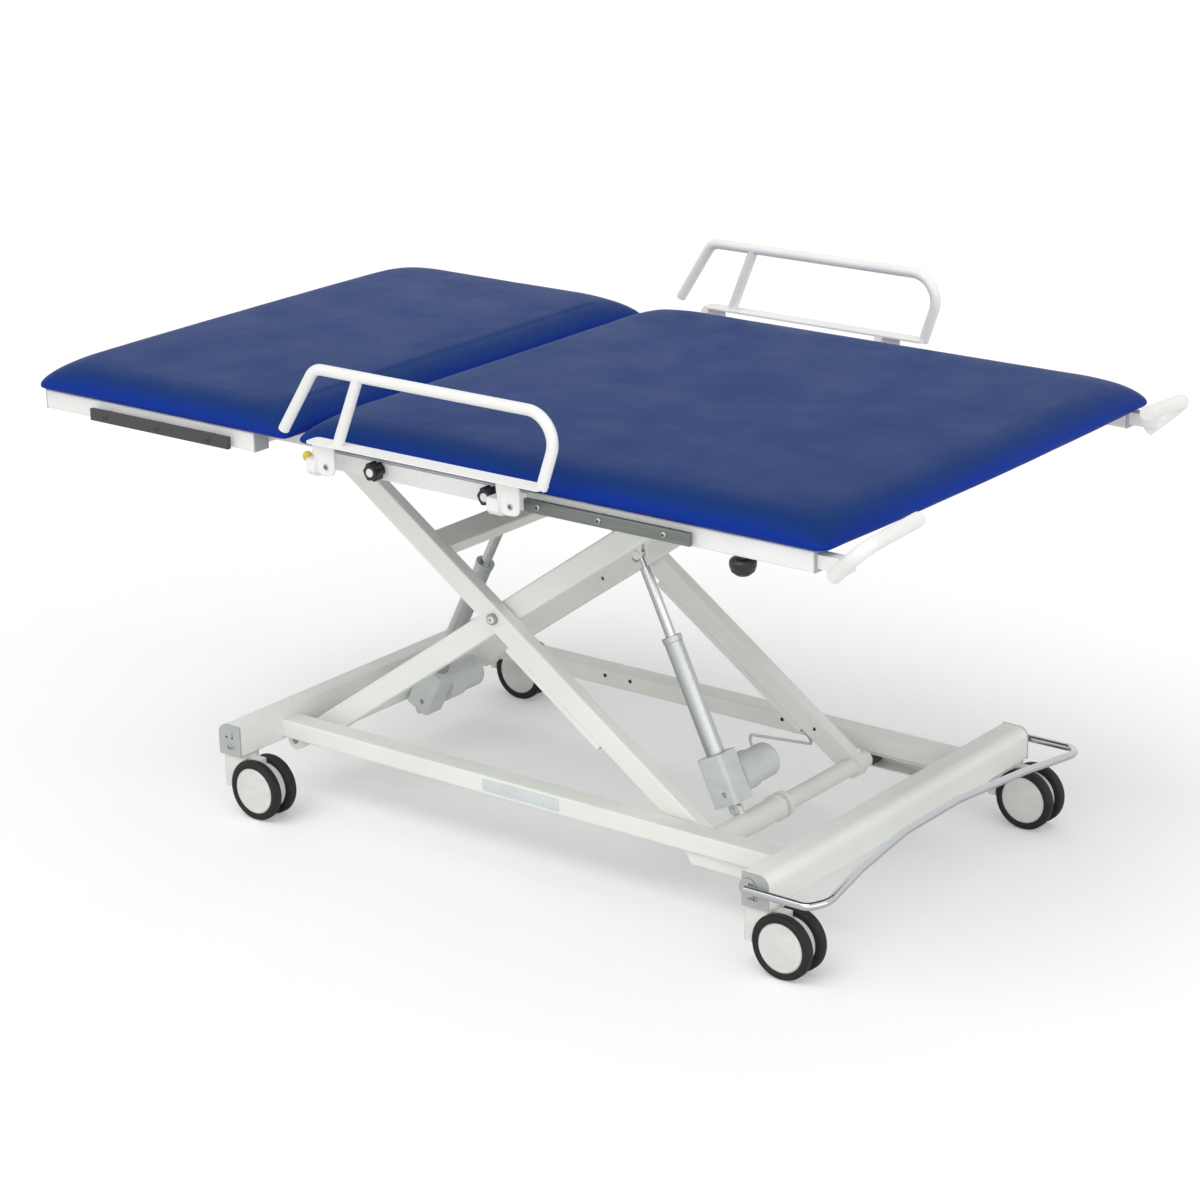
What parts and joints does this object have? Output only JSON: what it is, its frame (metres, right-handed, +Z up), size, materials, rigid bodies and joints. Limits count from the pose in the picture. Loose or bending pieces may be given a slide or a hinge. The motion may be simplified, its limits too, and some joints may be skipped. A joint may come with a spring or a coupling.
{
  "type": "bobath table",
  "caption": "Height adjustable therapy table with two blue cushions, scissor lift, folding side rails, pull-out handles and braked twin-wheel casters.",
  "frame": {"origin": "on the floor, at the middle of the base frame", "axes": "+X towards the foot end with the push handles, +Y to the far side, +Z up"},
  "size_m": [2.0739, 1.334, 1.09],
  "materials": {
    "base_paint": "white powder coat",
    "arm_paint": "white powder coat",
    "frame_paint": "white powder coat",
    "cap_plastic": "grey moulded",
    "pin_steel": "zinc plated",
    "roller_plastic": "dark moulded",
    "brake_chrome": "polished chrome",
    "caster_plastic": "grey moulded",
    "wheel_plastic": "light grey moulded",
    "tyre_rubber": "dark grey",
    "actuator_plastic": "light grey moulded",
    "actuator_metal": "satin anodised",
    "rod_steel": "ground",
    "lead_skin": "light grey",
    "spring_paint": "black",
    "box_plastic": "grey moulded",
    "main_rail_metal": "satin",
    "head_rail_metal": "dark satin",
    "cushion_skin": "blue coated upholstery fabric, satin",
    "knob_plastic": "black moulded",
    "release_plastic": "yellow"
  },
  "bodies": {
    "base": {"base_rails": "base_paint", "foot_beam": "base_paint", "head_beam": "base_paint", "beam_end_caps": "cap_plastic", "rail_brackets": "base_paint", "base_pins": "pin_steel"},
    "brake_bar": {"brake_bar": "brake_chrome"},
    "caster_near_foot": {"caster_housing_near_foot": "caster_plastic"},
    "wheels_near_foot": {"wheel_discs_near_foot": "wheel_plastic", "tyres_near_foot": "tyre_rubber"},
    "caster_far_foot": {"caster_housing_far_foot": "caster_plastic"},
    "wheels_far_foot": {"wheel_discs_far_foot": "wheel_plastic", "tyres_far_foot": "tyre_rubber"},
    "caster_near_head": {"caster_housing_near_head": "caster_plastic"},
    "wheels_near_head": {"wheel_discs_near_head": "wheel_plastic", "tyres_near_head": "tyre_rubber"},
    "caster_far_head": {"caster_housing_far_head": "caster_plastic"},
    "wheels_far_head": {"wheel_discs_far_head": "wheel_plastic", "tyres_far_head": "tyre_rubber"},
    "inner_arms": {"inner_arms": "arm_paint", "mid_pivot_pins": "pin_steel", "head_actuator_lead": "lead_skin"},
    "outer_arms": {"outer_arms": "arm_paint", "torsion_tube": "arm_paint", "cable_ducts": "arm_paint", "foot_actuator_lead": "lead_skin"},
    "lower_rollers": {"lower_rollers": "roller_plastic"},
    "upper_rollers": {"upper_rollers": "roller_plastic"},
    "foot_actuator": {"foot_actuator_housing": "actuator_plastic", "foot_actuator_tube": "actuator_metal"},
    "foot_rod": {"foot_actuator_rod": "rod_steel"},
    "head_actuator": {"head_actuator_housing": "actuator_plastic", "head_actuator_tube": "actuator_metal"},
    "head_rod": {"head_actuator_rod": "rod_steel"},
    "top_frame": {"main_frame": "frame_paint", "sub_frame": "frame_paint", "frame_pivot_pins": "pin_steel", "side_rail_mounts": "frame_paint", "rail_end_plugs": "cap_plastic", "control_box": "box_plastic", "main_accessory_rails": "main_rail_metal", "main_cushion": "cushion_skin"},
    "head_section": {"head_frame": "frame_paint", "head_end_caps": "cap_plastic", "head_accessory_rails": "head_rail_metal", "head_cushion": "cushion_skin"},
    "gas_spring": {"gas_spring_tube": "spring_paint"},
    "gas_spring_rod": {"gas_spring_rod": "rod_steel"},
    "side_rail_near": {"side_rail_near": "frame_paint"},
    "side_rail_far": {"side_rail_far": "frame_paint"},
    "star_knob_near_head": {"star_knob_near_head": "knob_plastic"},
    "star_knob_near_foot": {"star_knob_near_foot": "knob_plastic"},
    "star_knob_far_head": {"star_knob_far_head": "knob_plastic"},
    "star_knob_far_foot": {"star_knob_far_foot": "knob_plastic"},
    "hand_knob_near": {"hand_knob_near": "knob_plastic"},
    "hand_knob_far": {"hand_knob_far": "knob_plastic"},
    "release_knob_near": {"release_knob_near": "release_plastic"},
    "release_knob_far": {"release_knob_far": "release_plastic"},
    "push_handle_near": {"push_handle_near": "frame_paint"},
    "push_handle_far": {"push_handle_far": "frame_paint"}
  },
  "joints": [
    {"name": "brake_tilt", "type": "hinge", "parent": "base", "child": "brake_bar", "pos_m": [0.66, 0, 0.172], "axis": [0, 1, 0], "range_deg": [-10, 10]},
    {"name": "swivel_near_foot", "type": "hinge", "parent": "base", "child": "caster_near_foot", "pos_m": [0.671, -0.443, 0.16], "axis": [0, 0, 1], "continuous": true},
    {"name": "roll_near_foot", "type": "hinge", "parent": "caster_near_foot", "child": "wheels_near_foot", "pos_m": [0.731, -0.443, 0.065], "axis": [0, 1, 0], "continuous": true},
    {"name": "swivel_far_foot", "type": "hinge", "parent": "base", "child": "caster_far_foot", "pos_m": [0.671, 0.443, 0.16], "axis": [0, 0, 1], "continuous": true},
    {"name": "roll_far_foot", "type": "hinge", "parent": "caster_far_foot", "child": "wheels_far_foot", "pos_m": [0.731, 0.443, 0.065], "axis": [0, 1, 0], "continuous": true},
    {"name": "swivel_near_head", "type": "hinge", "parent": "base", "child": "caster_near_head", "pos_m": [-0.671, -0.443, 0.16], "axis": [0, 0, 1], "continuous": true},
    {"name": "roll_near_head", "type": "hinge", "parent": "caster_near_head", "child": "wheels_near_head", "pos_m": [-0.611, -0.443, 0.065], "axis": [0, 1, 0], "continuous": true},
    {"name": "swivel_far_head", "type": "hinge", "parent": "base", "child": "caster_far_head", "pos_m": [-0.671, 0.443, 0.16], "axis": [0, 0, 1], "continuous": true},
    {"name": "roll_far_head", "type": "hinge", "parent": "caster_far_head", "child": "wheels_far_head", "pos_m": [-0.611, 0.443, 0.065], "axis": [0, 1, 0], "continuous": true},
    {"name": "lift_fold", "type": "hinge", "parent": "base", "child": "inner_arms", "pos_m": [-0.6185, 0, 0.133], "axis": [0, 1, 0], "range_deg": [0, 15]},
    {"name": "arm_cross", "type": "hinge", "parent": "inner_arms", "child": "outer_arms", "pos_m": [-0.09424, 0, 0.50009], "axis": [0, 1, 0], "range_deg": [-30.5, 0.5]},
    {"name": "top_level", "type": "hinge", "parent": "outer_arms", "child": "top_frame", "pos_m": [-0.6185, 0, 0.86718], "axis": [0, 1, 0], "range_deg": [-0.5, 15.5]},
    {"name": "lower_roll", "type": "hinge", "parent": "outer_arms", "child": "lower_rollers", "pos_m": [0.43001, 0, 0.12485], "axis": [0, 1, 0], "continuous": true},
    {"name": "upper_roll", "type": "hinge", "parent": "inner_arms", "child": "upper_rollers", "pos_m": [0.43001, 0, 0.86718], "axis": [0, 1, 0], "continuous": true},
    {"name": "foot_actuator_tilt", "type": "hinge", "parent": "outer_arms", "child": "foot_actuator", "pos_m": [0.4135, -0.164, 0.164], "axis": [0, 1, 0], "range_deg": [-5.05, 0.5]},
    {"name": "foot_stroke", "type": "slide", "parent": "foot_actuator", "child": "foot_rod", "axis": [-0.4271, 0, 0.9042], "range_m": [-0.1607, 0.001]},
    {"name": "head_actuator_tilt", "type": "hinge", "parent": "inner_arms", "child": "head_actuator", "pos_m": [-0.54714, 0, 0.11826], "axis": [0, 1, 0], "range_deg": [-0.5, 4.48]},
    {"name": "head_stroke", "type": "slide", "parent": "head_actuator", "child": "head_rod", "axis": [0.4576, 0, 0.8892], "range_m": [-0.1141, 0.001]},
    {"name": "head_raise", "type": "hinge", "parent": "top_frame", "child": "head_section", "pos_m": [-0.42, 0, 0.884], "axis": [0, 1, 0], "range_deg": [0, 60]},
    {"name": "gas_spring_tilt", "type": "hinge", "parent": "top_frame", "child": "gas_spring", "pos_m": [0.1, 0, 0.832], "axis": [0, 1, 0], "range_deg": [-0.5, 1.39]},
    {"name": "gas_spring_stroke", "type": "slide", "parent": "gas_spring", "child": "gas_spring_rod", "axis": [-0.9995, 0, -0.0328], "range_m": [-0.001, 0.0757]},
    {"name": "side_rail_near_fold", "type": "hinge", "parent": "top_frame", "child": "side_rail_near", "pos_m": [0, -0.622, 0.87598], "axis": [1, 0, 0], "range_deg": [0, 175]},
    {"name": "side_rail_far_fold", "type": "hinge", "parent": "top_frame", "child": "side_rail_far", "pos_m": [0, 0.622, 0.87598], "axis": [-1, 0, 0], "range_deg": [0, 175]},
    {"name": "star_knob_near_head_turn", "type": "hinge", "parent": "top_frame", "child": "star_knob_near_head", "pos_m": [-0.124, -0.59, 0.88], "axis": [0, -1, 0], "range_deg": [0, 360]},
    {"name": "star_knob_near_foot_turn", "type": "hinge", "parent": "top_frame", "child": "star_knob_near_foot", "pos_m": [0.158, -0.59, 0.88], "axis": [0, -1, 0], "range_deg": [0, 360]},
    {"name": "hand_knob_near_turn", "type": "hinge", "parent": "top_frame", "child": "hand_knob_near", "pos_m": [0.708, -0.559, 0.84], "axis": [0, 0, 1], "range_deg": [0, 360]},
    {"name": "release_near_pull", "type": "slide", "parent": "top_frame", "child": "release_knob_near", "axis": [-1, 0, 0], "range_m": [0, 0.008], "stiffness_N_per_m": 400, "springref_m": -0.004},
    {"name": "push_handle_near_slide", "type": "slide", "parent": "top_frame", "child": "push_handle_near", "axis": [1, 0, 0], "range_m": [0, 0.12]},
    {"name": "star_knob_far_head_turn", "type": "hinge", "parent": "top_frame", "child": "star_knob_far_head", "pos_m": [-0.124, 0.59, 0.88], "axis": [0, 1, 0], "range_deg": [0, 360]},
    {"name": "star_knob_far_foot_turn", "type": "hinge", "parent": "top_frame", "child": "star_knob_far_foot", "pos_m": [0.158, 0.59, 0.88], "axis": [0, 1, 0], "range_deg": [0, 360]},
    {"name": "hand_knob_far_turn", "type": "hinge", "parent": "top_frame", "child": "hand_knob_far", "pos_m": [0.708, 0.559, 0.84], "axis": [0, 0, 1], "range_deg": [0, 360]},
    {"name": "release_far_pull", "type": "slide", "parent": "top_frame", "child": "release_knob_far", "axis": [-1, 0, 0], "range_m": [0, 0.008], "stiffness_N_per_m": 400, "springref_m": -0.004},
    {"name": "push_handle_far_slide", "type": "slide", "parent": "top_frame", "child": "push_handle_far", "axis": [1, 0, 0], "range_m": [0, 0.12]}
  ],
  "couplings": [
    {"joint": "arm_cross", "follows": "lift_fold", "ratio": -2},
    {"joint": "top_level", "follows": "lift_fold", "ratio": 1},
    {"joint": "foot_actuator_tilt", "follows": "lift_fold", "ratio": -0.30305},
    {"joint": "foot_stroke", "follows": "lift_fold", "m_per_rad": -0.6101},
    {"joint": "head_actuator_tilt", "follows": "lift_fold", "ratio": 0.2651},
    {"joint": "head_stroke", "follows": "lift_fold", "m_per_rad": -0.43184},
    {"joint": "gas_spring_tilt", "follows": "head_raise", "ratio": 0.014822},
    {"joint": "gas_spring_stroke", "follows": "head_raise", "m_per_rad": 0.071344}
  ]
}
